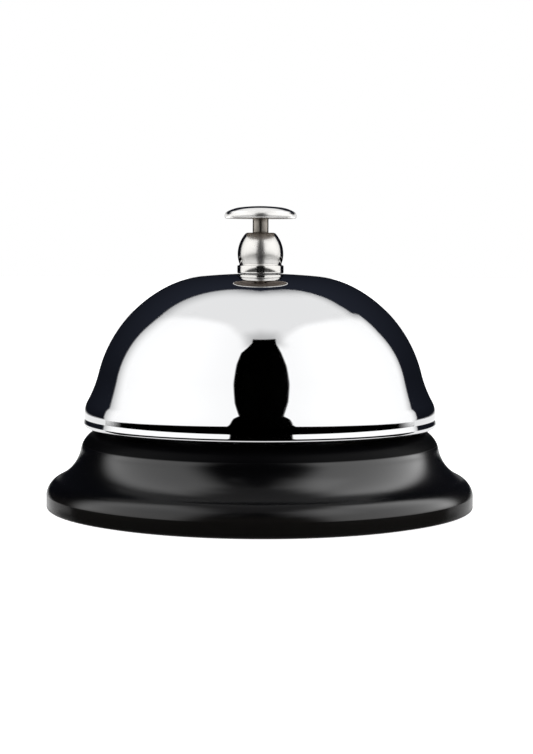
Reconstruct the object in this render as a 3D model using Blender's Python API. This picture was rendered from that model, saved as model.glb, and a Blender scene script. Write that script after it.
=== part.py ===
"""Service bell: a chromed gong on a black pressed base, rung by a button on top.

Metres, +Z up, the bell's axis on Z, the foot ring resting on z = 0. Two pieces of
the works move: the plunger slides down 2.5 mm, and its rod tips the striker,
which swings up 28 degrees and strikes the inside of the gong.
"""

import math

import bpy
from mathutils import Matrix

MM = 0.001

# ---- driving dimensions -------------------------------------------------
BASE_RADIUS = 42.5 * MM          # the base's vertical lip
LIP_Z = 0.3 * MM                 # the lip clears the counter: the foot ring stands
DECK_Z = 15.83 * MM              # top of the base's deck
BASE_SHEET = 0.8 * MM
DECK_HOLE_RADIUS = 26.0 * MM

GONG_TOP_Z = 46.62 * MM          # outside of the crown
GONG_WALL = 0.9 * MM
GONG_HOLE_RADIUS = 3.8 * MM

NUT_TOP_Z = 54.70 * MM
NUT_TOP_RADIUS = 2.84 * MM
COLLAR_RADIUS = 4.60 * MM
COLLAR_TOP_Z = 48.24 * MM
COLLAR_FOOT_Z = 46.85 * MM

BUTTON_TOP_Z = 59.96 * MM
BUTTON_FOOT_Z = 57.50 * MM

ROD_RADIUS = 1.57 * MM
ROD_TOP_Z = 59.1 * MM            # inside the button's socket
GUIDE_RADIUS = 1.65 * MM         # bore that the rod runs in
TRAVEL = 2.5 * MM                # how far the plunger goes down
SWING_DEG = 28.0                 # how far the striker swings up

PIVOT_X = 5.1 * MM
PIVOT_Z = 33.2 * MM
PAD_ARM = TRAVEL / (2 * math.sin(math.radians(SWING_DEG / 2)))  # pivot to the pad
PAD_RADIUS = 1.2 * MM
HEAD_ARM = 14.6 * MM             # pivot to the hammer's own axis
HEAD_RADIUS = 3.3 * MM
HEAD_TOP = 4.2 * MM             # above the lever's middle plane
LEVER_THICK = 1.4 * MM
LEVER_WIDTH = 4.8 * MM

GAP = 0.3 * MM                   # between pieces that touch
RIVET_GAP = 0.15 * MM
RIVET_SHANK = 1.5 * MM
RIVET_HOLE = 1.65 * MM
THREAD_HOLE = 3.75 * MM          # threaded bores, drawn plain

STRAP_TOP_Z = DECK_Z - BASE_SHEET - GAP
STRAP_THICK = 1.8 * MM
STRAP_WIDTH = 14.0 * MM
STRAP_LENGTH = 62.0 * MM
STRAP_RIVET_X = 4.0 * MM
STRAP_RIVET_Y = 28.7 * MM

YOKE_SHEET = 1.2 * MM
YOKE_INSIDE = 7.0 * MM           # half the gap between the legs
YOKE_TOP_Z = 42.5 * MM
YOKE_FOOT_END = 15.0 * MM
YOKE_X = (-6.5 * MM, 8.0 * MM)
YOKE_RIVET_Y = 11.8 * MM

STUD_RADIUS = 3.5 * MM
STUD_FLANGE_Z = (42.8 * MM, 44.5 * MM)
STUD_END_Z = (37.0 * MM, 49.9 * MM)
SPRING_SEAT_Z = 47.3 * MM
CLIP_Z = (53.0 * MM, 53.6 * MM)       # retaining ring on the rod

ROUND = 56                       # segments of the large turned pieces
SMALL = 28                       # segments of the small turned pieces
RIVET = 12                       # segments of a rivet

# Outlines, as arcs (radius, turn in degrees) and straight runs (length,).
# A positive turn bends downwards, a negative one bends back outwards.
GONG_CURVES = (
    (121.1 * MM, 5.35),          # nearly flat crown
    (20.17 * MM, 22.48),         # shoulder
    (26.39 * MM, 48.02),         # side
    (23.5 * MM, -14.85),         # the side flares out again
    (4.8 * MM, 29.0),            # and turns down to the rim
    (0.9 * MM,),
    (0.6 * MM, -12.0),           # shallow groove above the bead
    (0.72 * MM,),
)
GONG_BEAD = (0.8 * MM, 102.0)    # rounded lower edge of the rim
BALL_CURVES = ((6.23 * MM, 43.3), (4.95 * MM, 23.0))
BALL_HEADING = 46.7              # slope at the top of the ball
BUTTON_CURVES = ((33.0 * MM, 6.9), (7.4 * MM, 21.4), (1.074 * MM, 61.7))
BASE_CURVES = (
    (4.87 * MM, 77.81),          # rounded shoulder
    (0.22 * MM,),
    (8.09 * MM, -52.99),         # concave sweep
    (4.09 * MM, 54.26),          # roll above the lip
    (0.5 * MM, 10.92),           # crease into the vertical lip
)


# ---- outlines -----------------------------------------------------------
def path(start, heading_deg, curves, step_deg=9.0):
    """Points of a chain of arcs and straight runs, starting outwards (heading 0)."""
    r, z = start
    heading = math.radians(heading_deg)
    points = [(r, z)]
    for curve in curves:
        if len(curve) == 1:
            r += curve[0] * math.cos(heading)
            z -= curve[0] * math.sin(heading)
            points.append((r, z))
            continue
        radius = curve[0] * math.copysign(1.0, curve[1])
        turn = math.radians(curve[1])
        centre_r = r - radius * math.sin(heading)
        centre_z = z - radius * math.cos(heading)
        count = max(1, math.ceil(abs(curve[1]) / step_deg))
        for i in range(1, count + 1):
            now = heading + turn * i / count
            r = centre_r + radius * math.sin(now)
            z = centre_z + radius * math.cos(now)
            points.append((r, z))
        heading += turn
    return points


def thinned(curves, sheet):
    """The same chain, one sheet thickness further in."""
    inside = []
    for curve in curves:
        if len(curve) == 1:
            inside.append(curve)
        elif curve[1] > 0:
            inside.append((curve[0] - sheet, curve[1]))
        else:
            inside.append((curve[0] + sheet, curve[1]))
    return inside


def rounded_rectangle(half_x, half_y, radius, steps=4):
    points = []
    for cx, cy, first in (
        (half_x - radius, half_y - radius, 0),
        (radius - half_x, half_y - radius, 90),
        (radius - half_x, radius - half_y, 180),
        (half_x - radius, radius - half_y, 270),
    ):
        for i in range(steps + 1):
            angle = math.radians(first + 90 * i / steps)
            points.append((cx + radius * math.cos(angle), cy + radius * math.sin(angle)))
    return points


# ---- solids -------------------------------------------------------------
def material(name, colour, metallic, roughness):
    made = bpy.data.materials.new(name)
    made.use_nodes = True
    shader = made.node_tree.nodes["Principled BSDF"]
    shader.inputs["Base Color"].default_value = (*colour, 1.0)
    shader.inputs["Metallic"].default_value = metallic
    shader.inputs["Roughness"].default_value = roughness
    return made


def add_object(name, vertices, faces, smooth=True):
    mesh = bpy.data.meshes.new(name)
    mesh.from_pydata(vertices, [], faces)
    mesh.validate()
    mesh.polygons.foreach_set("use_smooth", [smooth] * len(mesh.polygons))
    made = bpy.data.objects.new(name, mesh)
    bpy.context.scene.collection.objects.link(made)
    return made


def turned(name, profile, segments):
    """Solid of revolution about Z of a closed (r, z) outline, which may touch the axis."""
    area = sum(
        a[0] * b[1] - b[0] * a[1]
        for a, b in zip(profile, profile[1:] + profile[:1])
    )
    outline = list(profile) if area < 0 else list(reversed(profile))
    vertices = []
    rings = []
    for r, z in outline:
        if r < 1e-9:
            rings.append([len(vertices)] * segments)
            vertices.append((0.0, 0.0, z))
            continue
        rings.append([len(vertices) + j for j in range(segments)])
        for j in range(segments):
            angle = 2 * math.pi * j / segments
            vertices.append((r * math.cos(angle), r * math.sin(angle), z))
    faces = []
    for i, ring in enumerate(rings):
        after = rings[(i + 1) % len(rings)]
        for j in range(segments):
            k = (j + 1) % segments
            corners = []
            for index in (ring[j], after[j], after[k], ring[k]):
                if index not in corners:
                    corners.append(index)
            if len(corners) > 2:
                faces.append(corners)
    return add_object(name, vertices, faces)


def prism(name, outline, low, high, axis="Z"):
    """Straight solid of a flat outline between two planes across an axis."""
    place = {
        "Z": lambda a, b, c: (a, b, c),
        "Y": lambda a, b, c: (b, c, a),
        "X": lambda a, b, c: (c, a, b),
    }[axis]
    area = sum(
        a[0] * b[1] - b[0] * a[1]
        for a, b in zip(outline, outline[1:] + outline[:1])
    )
    around = list(outline) if area > 0 else list(reversed(outline))
    count = len(around)
    vertices = [place(a, b, low) for a, b in around]
    vertices += [place(a, b, high) for a, b in around]
    faces = [list(reversed(range(count))), list(range(count, 2 * count))]
    for i in range(count):
        j = (i + 1) % count
        faces.append([i, j, j + count, i + count])
    return add_object(name, vertices, faces, smooth=False)


def circle(radius, segments, centre=(0.0, 0.0)):
    return [
        (
            centre[0] + radius * math.cos(2 * math.pi * i / segments),
            centre[1] + radius * math.sin(2 * math.pi * i / segments),
        )
        for i in range(segments)
    ]


def helper(made):
    made.hide_render = True
    made.display_type = "WIRE"
    return made


def combine(target, other, operation):
    modifier = target.modifiers.new(operation.title(), "BOOLEAN")
    modifier.operation = operation
    modifier.solver = "EXACT"
    modifier.object = helper(other)


def drill(target, centre, radius, low, high, axis="Z", segments=20):
    """Round hole through the target, along an axis."""
    cutter = prism(
        f"{target.name}_drill", circle(radius, segments, centre), low, high, axis
    )
    cutter.parent = target.parent
    combine(target, cutter, "DIFFERENCE")
    return cutter


# ---- base ---------------------------------------------------------------
def base_outline():
    chain = path((0.0, DECK_Z), 0.0, BASE_CURVES)
    edge = BASE_RADIUS - chain[-1][0]
    outside = path((edge, DECK_Z), 0.0, BASE_CURVES, 13.0)
    within = thinned(BASE_CURVES[:-1], BASE_SHEET)
    inside = path((edge, DECK_Z - BASE_SHEET), 0.0, within, 20.0)
    inside.append((BASE_RADIUS - BASE_SHEET, outside[-1][1]))
    ease = 0.2 * MM
    top = [
        (DECK_HOLE_RADIUS, DECK_Z - ease),
        (DECK_HOLE_RADIUS + ease, DECK_Z),
    ]
    lip = [
        (BASE_RADIUS, LIP_Z + ease),
        (BASE_RADIUS - ease, LIP_Z),
        (BASE_RADIUS - BASE_SHEET, LIP_Z),
    ]
    return top + outside + lip + inside[::-1] + [(DECK_HOLE_RADIUS, DECK_Z - BASE_SHEET)]


def make_base_shell(paint):
    made = turned("base_shell", base_outline(), ROUND)
    made.data.materials.append(paint)
    for x in (-STRAP_RIVET_X, STRAP_RIVET_X):
        for y in (-STRAP_RIVET_Y, STRAP_RIVET_Y):
            drill(made, (x, y), RIVET_HOLE, DECK_Z - 3 * MM, DECK_Z + 2 * MM, segments=RIVET)
    return made


def make_foot_ring(rubber):
    """Rubber ring pressed into the lip: the bell stands on it."""
    outer = BASE_RADIUS - BASE_SHEET - GAP
    outline = [
        (36.4 * MM, 0.0),
        (outer - 0.5 * MM, 0.0),
        (outer, 0.5 * MM),
        (outer, 2.8 * MM),
        (outer - 0.7 * MM, 3.5 * MM),
        (36.8 * MM, 3.5 * MM),
        (36.0 * MM, 2.7 * MM),
        (36.0 * MM, 0.4 * MM),
    ]
    made = turned("foot_ring", outline, ROUND)
    made.data.materials.append(rubber)
    return made


def make_bridge_strap(steel):
    outline = rounded_rectangle(STRAP_WIDTH / 2, STRAP_LENGTH / 2, 3.0 * MM)
    made = prism("bridge_strap", outline, STRAP_TOP_Z - STRAP_THICK, STRAP_TOP_Z)
    made.data.materials.append(steel)
    low, high = STRAP_TOP_Z - 4 * MM, STRAP_TOP_Z + 2 * MM
    for y in (-STRAP_RIVET_Y, STRAP_RIVET_Y):
        for x in (-STRAP_RIVET_X, STRAP_RIVET_X):
            drill(made, (x, y), RIVET_HOLE, low, high, segments=RIVET)
    for y in (-YOKE_RIVET_Y, YOKE_RIVET_Y):
        drill(made, (0.0, y), RIVET_HOLE, low, high, segments=RIVET)
    return made


def rivet_mesh(top, steel):
    """Round-headed rivet up through the strap, its upper head standing on `top`."""
    low = STRAP_TOP_Z - STRAP_THICK - RIVET_GAP
    high = top + RIVET_GAP
    outline = [
        (0.0, high + 0.85 * MM),
        (1.3 * MM, high + 0.7 * MM),
        (2.2 * MM, high + 0.3 * MM),
        (2.45 * MM, high),
        (RIVET_SHANK, high),
        (RIVET_SHANK, low),
        (2.35 * MM, low),
        (2.35 * MM, low - 0.45 * MM),
        (1.9 * MM, low - 0.8 * MM),
        (0.0, low - 0.8 * MM),
    ]
    made = turned("rivet", outline, RIVET)
    made.data.materials.append(steel)
    mesh = made.data
    bpy.data.objects.remove(made)
    return mesh


def place_copies(mesh, stem, places):
    for number, (x, y) in enumerate(places, 1):
        made = bpy.data.objects.new(f"{stem}_{number}", mesh)
        made.location = (x, y, 0.0)
        bpy.context.scene.collection.objects.link(made)


def make_rivets(steel):
    x, y = STRAP_RIVET_X, STRAP_RIVET_Y
    corners = [(-x, -y), (x, -y), (x, y), (-x, y)]
    place_copies(rivet_mesh(DECK_Z, steel), "strap_rivet", corners)
    feet = [(0.0, -YOKE_RIVET_Y), (0.0, YOKE_RIVET_Y)]
    foot_top = STRAP_TOP_Z + GAP + YOKE_SHEET
    place_copies(rivet_mesh(foot_top, steel), "yoke_rivet", feet)


# ---- yoke, stud and what clamps the gong --------------------------------
def yoke_outline():
    """Folded strip seen along X: top plate, two legs, two feet turned outwards."""
    bend = 2.0 * MM
    leg = YOKE_TOP_Z - (STRAP_TOP_Z + GAP) - 2 * bend
    flat = YOKE_INSIDE + YOKE_SHEET - bend
    foot = YOKE_FOOT_END - YOKE_INSIDE - bend
    small_bend = bend - YOKE_SHEET
    outer = ((flat,), (bend, 90.0), (leg,), (small_bend, -90.0), (foot,))
    right = path((0.0, YOKE_TOP_Z), 0.0, outer, 22.5)
    inner = path((0.0, YOKE_TOP_Z - YOKE_SHEET), 0.0, thinned(outer, YOKE_SHEET), 22.5)
    half = right[1:] + inner[:0:-1]
    mirrored = [(-y, z) for y, z in half]
    return half + mirrored[::-1]


def make_striker_yoke(steel):
    made = prism("striker_yoke", yoke_outline(), YOKE_X[0], YOKE_X[1], axis="X")
    made.data.materials.append(steel)
    drill(made, (0.0, 0.0), THREAD_HOLE, YOKE_TOP_Z - 3 * MM, YOKE_TOP_Z + 2 * MM)
    side = YOKE_INSIDE + YOKE_SHEET + 3 * MM
    drill(made, (PIVOT_Z, PIVOT_X), 1.1 * MM, -side, side, axis="Y", segments=16)
    for y in (-YOKE_RIVET_Y, YOKE_RIVET_Y):
        drill(made, (0.0, y), RIVET_HOLE, STRAP_TOP_Z, STRAP_TOP_Z + 4 * MM, segments=RIVET)
    return made


def make_centre_stud(steel):
    """Hollow stud: flange under the gong, threaded ends above and below it."""
    flange = 5.5 * MM
    low, high = STUD_END_Z
    foot, shoulder = STUD_FLANGE_Z
    ease = 0.3 * MM
    outline = [
        (GUIDE_RADIUS, low),
        (STUD_RADIUS - ease, low),
        (STUD_RADIUS, low + ease),
        (STUD_RADIUS, foot),
        (flange, foot),
        (flange, shoulder),
        (STUD_RADIUS, shoulder),
        (STUD_RADIUS, high - ease),
        (STUD_RADIUS - ease, high),
        (2.7 * MM, high),
        (2.7 * MM, SPRING_SEAT_Z),
        (GUIDE_RADIUS, SPRING_SEAT_Z),
    ]
    made = turned("centre_stud", outline, SMALL)
    made.data.materials.append(steel)
    return made


def ring_outline(inner, outer, low, high):
    return [(inner, low), (outer, low), (outer, high), (inner, high)]


def make_stud_nut(steel):
    corner = 5.5 * MM / math.cos(math.radians(30))
    low, high = 37.7 * MM, 40.1 * MM
    outline = circle(corner, 6)
    made = prism("stud_nut", outline, low, high)
    made.data.materials.append(steel)
    drill(made, (0.0, 0.0), THREAD_HOLE, low - 2 * MM, high + 2 * MM, segments=SMALL)
    return made


def make_washers(steel, fibre):
    lock = turned(
        "lock_washer",
        ring_outline(3.8 * MM, 6.0 * MM, 40.4 * MM, 41.0 * MM),
        SMALL,
    )
    lock.data.materials.append(steel)
    seat = turned(
        "gong_washer",
        ring_outline(3.8 * MM, 5.8 * MM, 44.8 * MM, 45.4 * MM),
        SMALL,
    )
    seat.data.materials.append(fibre)


def gong_outline():
    outside = path((0.0, GONG_TOP_Z), 0.0, GONG_CURVES, 9.0)
    bead = path(outside[-1], 78.0, [GONG_BEAD], 26.0)[1:]
    within = thinned(GONG_CURVES, GONG_WALL)
    inside = path((0.0, GONG_TOP_Z - GONG_WALL), 0.0, within, 13.0)
    inside.append((inside[-1][0] + 0.1 * MM, bead[-1][1] + 0.15 * MM))

    def from_hole(points):
        crown = points[1]
        share = (GONG_HOLE_RADIUS / crown[0]) ** 2
        z = points[0][1] + (crown[1] - points[0][1]) * share
        return [(GONG_HOLE_RADIUS, z)] + points[1:]

    return from_hole(outside) + bead + from_hole(inside)[::-1]


def make_gong(chrome):
    made = turned("gong", gong_outline(), ROUND)
    made.data.materials.append(chrome)
    return made


def make_ball_nut(nickel):
    """Ball-shaped nut: threaded socket below, spring chamber, and a bore for the rod."""
    ball = path(
        (NUT_TOP_RADIUS, NUT_TOP_Z), BALL_HEADING, BALL_CURVES, 9.0
    )
    ease = 0.25 * MM
    chamber = 2.9 * MM
    outline = [
        (GUIDE_RADIUS, NUT_TOP_Z - 0.05 * MM),
        (GUIDE_RADIUS + 0.15 * MM, NUT_TOP_Z),
    ]
    outline += ball
    outline += [
        (COLLAR_RADIUS - ease, COLLAR_TOP_Z),
        (COLLAR_RADIUS, COLLAR_TOP_Z - ease),
        (COLLAR_RADIUS, COLLAR_FOOT_Z + ease),
        (COLLAR_RADIUS - ease, COLLAR_FOOT_Z),
        (THREAD_HOLE, COLLAR_FOOT_Z),
        (THREAD_HOLE, STUD_END_Z[1] + GAP),
        (chamber, STUD_END_Z[1] + 1.0 * MM),
        (chamber, CLIP_Z[1] + 0.1 * MM),
        (GUIDE_RADIUS, CLIP_Z[1] + 0.1 * MM),
    ]
    made = turned("ball_nut", outline, SMALL)
    made.data.materials.append(nickel)
    return made


# ---- plunger ------------------------------------------------------------
def make_plunger_button(nickel, guide):
    dome = path((0.0, BUTTON_TOP_Z), 0.0, BUTTON_CURVES, 11.0)
    foot = path(dome[-1], 90.0, [(dome[-1][1] - BUTTON_FOOT_Z, 90.0)], 30.0)[1:]
    socket = ROD_RADIUS + 0.1 * MM
    outline = dome + foot
    outline += [
        (socket, BUTTON_FOOT_Z),
        (socket, ROD_TOP_Z + 0.15 * MM),
        (0.0, ROD_TOP_Z + 0.15 * MM),
    ]
    made = turned("plunger_button", outline, 32)
    made.data.materials.append(nickel)
    made.parent = guide
    return made


def make_plunger_rod(nickel, guide):
    tip = PIVOT_Z + PAD_ARM * math.sin(math.radians(SWING_DEG / 2))
    tip += PAD_RADIUS + 0.08 * MM
    groove = 1.2 * MM
    outline = [
        (0.0, ROD_TOP_Z),
        (ROD_RADIUS, ROD_TOP_Z),
        (ROD_RADIUS, CLIP_Z[1] + 0.08 * MM),
        (groove, CLIP_Z[1] + 0.08 * MM),
        (groove, CLIP_Z[0] - 0.08 * MM),
        (ROD_RADIUS, CLIP_Z[0] - 0.08 * MM),
        (ROD_RADIUS, tip + 0.5 * MM),
        (1.1 * MM, tip),
        (0.0, tip),
    ]
    made = turned("plunger_rod", outline, 24)
    made.data.materials.append(nickel)
    made.parent = guide
    return made


def open_ring(name, inner, outer, gap_deg, low, high, steps, axis="Z", centre=(0.0, 0.0)):
    """Flat retaining ring with a gap in it."""
    half = gap_deg / 2
    angles = [math.radians(half + (360 - gap_deg) * i / steps) for i in range(steps + 1)]
    outline = [(outer * math.cos(a), outer * math.sin(a)) for a in angles]
    outline += [(inner * math.cos(a), inner * math.sin(a)) for a in reversed(angles)]
    outline = [(centre[0] + a, centre[1] + b) for a, b in outline]
    return prism(name, outline, low, high, axis)


def make_spring_clip(steel, guide):
    made = open_ring("spring_clip", 1.3 * MM, 2.6 * MM, 50, CLIP_Z[0], CLIP_Z[1], 20)
    made.data.materials.append(steel)
    made.parent = guide
    return made


def make_return_spring(steel):
    """Compression spring between the stud's counterbore and the ring on the rod."""
    wire = 0.25 * MM
    mean = 2.15 * MM
    low = SPRING_SEAT_Z + 0.1 * MM + wire
    high = CLIP_Z[0] - 0.1 * MM - wire
    turns, per_turn, sides = 5.5, 12, 6
    closed = 0.55 * MM

    def height(turn):
        open_rise = (high - low - 2 * closed) / (turns - 2)
        if turn < 1:
            return low + closed * turn
        if turn < turns - 1:
            return low + closed + open_rise * (turn - 1)
        return high - closed * (turns - turn)

    count = round(turns * per_turn)
    vertices = []
    for i in range(count + 1):
        turn = turns * i / count
        angle = 2 * math.pi * turn
        for k in range(sides):
            around = 2 * math.pi * (k + 0.5) / sides
            r = mean + wire * math.cos(around)
            z = height(turn) + wire * math.sin(around)
            vertices.append((r * math.cos(angle), r * math.sin(angle), z))
    faces = [list(range(sides))]
    for i in range(count):
        for k in range(sides):
            a, b = i * sides + k, i * sides + (k + 1) % sides
            faces.append([a, a + sides, b + sides, b])
    faces.append([count * sides + k for k in reversed(range(sides))])
    made = add_object("return_spring", vertices, faces)
    made.data.materials.append(steel)
    return made


# ---- striker ------------------------------------------------------------
def make_striker_lever(steel, pivot):
    """Lever about its pivot: the pad towards -X, the hammer's seat towards +X."""
    half = LEVER_THICK / 2
    outline = []
    for i in range(9):
        angle = math.radians(35 + 290 * i / 8)
        outline.append(
            (-PAD_ARM + PAD_RADIUS * math.cos(angle), PAD_RADIUS * math.sin(angle))
        )
    outline += [(HEAD_ARM, -half), (HEAD_ARM, half)]
    bar = prism(
        "striker_lever",
        [(z, x) for x, z in outline],
        -LEVER_WIDTH / 2,
        LEVER_WIDTH / 2,
        axis="Y",
    )
    bar.data.materials.append(steel)
    bar.parent = pivot
    hub = prism("striker_lever_hub", circle(2.3 * MM, 20), -6.0 * MM, 6.0 * MM, axis="Y")
    hub.parent = pivot
    combine(bar, hub, "UNION")
    seat = prism("striker_lever_seat", circle(3.2 * MM, 20, (HEAD_ARM, 0.0)), -half, half)
    seat.parent = pivot
    combine(bar, seat, "UNION")
    drill(bar, (0.0, 0.0), 1.07 * MM, -9 * MM, 9 * MM, axis="Y", segments=20)
    drill(bar, (HEAD_ARM, 0.0), RIVET_HOLE, -4 * MM, 4 * MM, segments=RIVET)
    return bar


def make_striker_head(brass, pivot):
    """Hammer riveted through the lever's end: its domed top hits the gong."""
    half = LEVER_THICK / 2
    top = path(
        (0.0, HEAD_TOP), 0.0, [(6.0 * MM, 24.0), (0.9 * MM, 66.0)], 12.0
    )
    widen = HEAD_RADIUS - top[-1][0]
    outline = [top[0]] + [(r + widen * min(1.0, r / top[3][0]), z) for r, z in top[1:]]
    outline += [
        (HEAD_RADIUS, half + 0.55 * MM),
        (HEAD_RADIUS - 0.4 * MM, half + RIVET_GAP),
        (RIVET_SHANK, half + RIVET_GAP),
        (RIVET_SHANK, -half - RIVET_GAP),
        (2.5 * MM, -half - RIVET_GAP),
        (2.5 * MM, -half - 0.55 * MM),
        (1.9 * MM, -half - 0.95 * MM),
        (0.0, -half - 0.95 * MM),
    ]
    made = turned("striker_head", outline, 24)
    made.data.transform(Matrix.Translation((HEAD_ARM, 0.0, 0.0)))
    made.data.materials.append(brass)
    made.parent = pivot
    return made


def make_pivot_pin(steel):
    """Headed pin through both legs of the yoke, grooved for its ring."""
    side = YOKE_INSIDE + YOKE_SHEET
    outline = [
        (0.0, -side - 1.0 * MM),
        (1.5 * MM, -side - 1.0 * MM),
        (1.9 * MM, -side - 0.7 * MM),
        (1.9 * MM, -side - 0.2 * MM),
        (1.0 * MM, -side - 0.2 * MM),
        (1.0 * MM, side + 0.25 * MM),
        (0.7 * MM, side + 0.25 * MM),
        (0.7 * MM, side + 0.85 * MM),
        (1.0 * MM, side + 0.85 * MM),
        (1.0 * MM, side + 1.3 * MM),
        (0.8 * MM, side + 1.5 * MM),
        (0.0, side + 1.5 * MM),
    ]
    made = turned("pivot_pin", outline, 20)
    made.data.transform(Matrix.Rotation(math.radians(-90), 4, "X"))
    made.location = (PIVOT_X, 0.0, PIVOT_Z)
    made.data.materials.append(steel)
    return made


def make_pin_clip(steel):
    side = YOKE_INSIDE + YOKE_SHEET
    made = open_ring(
        "pin_clip",
        0.8 * MM,
        2.1 * MM,
        70,
        side + 0.3 * MM,
        side + 0.8 * MM,
        14,
        axis="Y",
    )
    made.location = (PIVOT_X, 0.0, PIVOT_Z)
    made.data.materials.append(steel)
    return made


def empty(name, location, tilt_deg=0.0):
    made = bpy.data.objects.new(name, None)
    made.location = location
    made.rotation_euler = (0.0, math.radians(tilt_deg), 0.0)
    bpy.context.scene.collection.objects.link(made)
    return made


# ---- the bell -----------------------------------------------------------
def main():
    for old in list(bpy.data.objects):
        bpy.data.objects.remove(old)
    chrome = material("gong_chrome", (0.80, 0.81, 0.83), 1.0, 0.04)
    nickel = material("polished_nickel", (0.72, 0.69, 0.64), 1.0, 0.12)
    paint = material("black_paint", (0.012, 0.012, 0.013), 0.0, 0.28)
    rubber = material("black_rubber", (0.03, 0.03, 0.03), 0.0, 0.75)
    zinc = material("zinc_plated_steel", (0.62, 0.63, 0.65), 1.0, 0.35)
    spring = material("spring_steel", (0.45, 0.45, 0.46), 1.0, 0.3)
    brass = material("brass", (0.78, 0.60, 0.30), 1.0, 0.3)
    fibre = material("red_fibre", (0.32, 0.06, 0.04), 0.0, 0.7)

    guide = empty("plunger_axis", (0.0, 0.0, 0.0))
    pivot = empty("striker_pivot", (PIVOT_X, 0.0, PIVOT_Z), SWING_DEG / 2)

    make_base_shell(paint)
    make_foot_ring(rubber)
    make_bridge_strap(zinc)
    make_rivets(zinc)
    make_striker_yoke(zinc)
    make_centre_stud(zinc)
    make_stud_nut(zinc)
    make_washers(zinc, fibre)
    make_gong(chrome)
    make_ball_nut(nickel)
    make_plunger_button(nickel, guide)
    make_plunger_rod(nickel, guide)
    make_spring_clip(spring, guide)
    make_return_spring(spring)
    make_striker_lever(zinc, pivot)
    make_striker_head(brass, pivot)
    make_pivot_pin(zinc)
    make_pin_clip(spring)


main()
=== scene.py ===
"""Looks of the service bell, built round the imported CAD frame.

Every piece here stands for one CAD node, in the same place and at the same
size, with finer curves, eased edges and finished materials. One size differs:
the ball nut's collar is seated lower, to close most of the gap that the CAD
solids keep to the gong. Metres, +Z up, the bell's axis on Z.
"""

import math

import bpy
from mathutils import Euler, Matrix, Vector


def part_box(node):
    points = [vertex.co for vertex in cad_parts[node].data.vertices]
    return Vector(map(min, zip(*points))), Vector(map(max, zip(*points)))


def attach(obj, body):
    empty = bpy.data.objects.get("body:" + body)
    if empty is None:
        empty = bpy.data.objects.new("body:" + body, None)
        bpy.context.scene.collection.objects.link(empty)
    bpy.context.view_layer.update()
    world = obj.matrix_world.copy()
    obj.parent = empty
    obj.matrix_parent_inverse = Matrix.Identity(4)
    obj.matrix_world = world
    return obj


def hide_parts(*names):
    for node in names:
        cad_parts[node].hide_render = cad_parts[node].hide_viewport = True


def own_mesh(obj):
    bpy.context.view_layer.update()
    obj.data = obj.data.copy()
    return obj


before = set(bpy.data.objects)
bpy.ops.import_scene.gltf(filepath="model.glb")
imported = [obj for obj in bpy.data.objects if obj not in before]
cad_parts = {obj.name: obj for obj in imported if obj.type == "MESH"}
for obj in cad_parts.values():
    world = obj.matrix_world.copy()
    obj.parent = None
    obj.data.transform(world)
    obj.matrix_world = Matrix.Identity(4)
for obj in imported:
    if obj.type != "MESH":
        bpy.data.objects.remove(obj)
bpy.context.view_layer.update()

MM = 0.001

# ---- sizes shared with the CAD model ------------------------------------
BASE_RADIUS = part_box("base_shell")[1][0]
LIP_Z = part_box("base_shell")[0][2]
DECK_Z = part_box("base_shell")[1][2]
BASE_SHEET = 0.8 * MM
DECK_HOLE_RADIUS = 26.0 * MM
FOOT_INNER, FOOT_OUTER = 36.0 * MM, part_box("foot_ring")[1][0]
FOOT_TOP_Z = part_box("foot_ring")[1][2]

GONG_TOP_Z = 46.62 * MM
GONG_WALL = 0.9 * MM
GONG_HOLE_RADIUS = 3.8 * MM
WASHER_HOLE_RADIUS = 3.8 * MM

NUT_TOP_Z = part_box("ball_nut")[1][2]
NUT_TOP_RADIUS = 2.84 * MM
COLLAR_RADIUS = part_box("ball_nut")[1][0]
COLLAR_TOP_Z = 48.24 * MM
COLLAR_FOOT_Z = GONG_TOP_Z + 0.01 * MM    # 0.22 mm below the CAD nut's foot

BUTTON_TOP_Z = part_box("plunger_button")[1][2]
BUTTON_FOOT_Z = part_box("plunger_button")[0][2]

ROD_RADIUS = 1.57 * MM
ROD_TIP_Z, ROD_TOP_Z = (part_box("plunger_rod")[end][2] for end in (0, 1))
GUIDE_RADIUS = 1.65 * MM
CLIP_Z = tuple(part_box("spring_clip")[end][2] for end in (0, 1))
SPRING_Z = tuple(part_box("return_spring")[end][2] for end in (0, 1))
SPRING_CLIP_RADII = (1.3 * MM, 2.6 * MM)
PIN_CLIP_RADII = (0.8 * MM, 2.1 * MM)

PIVOT = Vector((5.1 * MM, 0.0, 33.2 * MM))
TRAVEL, SWING = 2.5 * MM, math.radians(28.0)
PAD_ARM, PAD_RADIUS = TRAVEL / (2 * math.sin(SWING / 2)), 1.2 * MM
HEAD_ARM, HEAD_RADIUS, HEAD_TOP = 14.6 * MM, 3.3 * MM, 4.2 * MM
LEVER_THICK, LEVER_WIDTH = 1.4 * MM, 4.8 * MM
SEAT_RADIUS = 3.2 * MM           # the lever's round end under the hammer
HUB_BORE, HUB_RADIUS, HUB_HALF = 1.07 * MM, 2.3 * MM, 6.0 * MM
PIN_RADIUS, PIN_GROOVE, PIN_HEAD = 1.0 * MM, 0.7 * MM, 1.9 * MM

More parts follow.
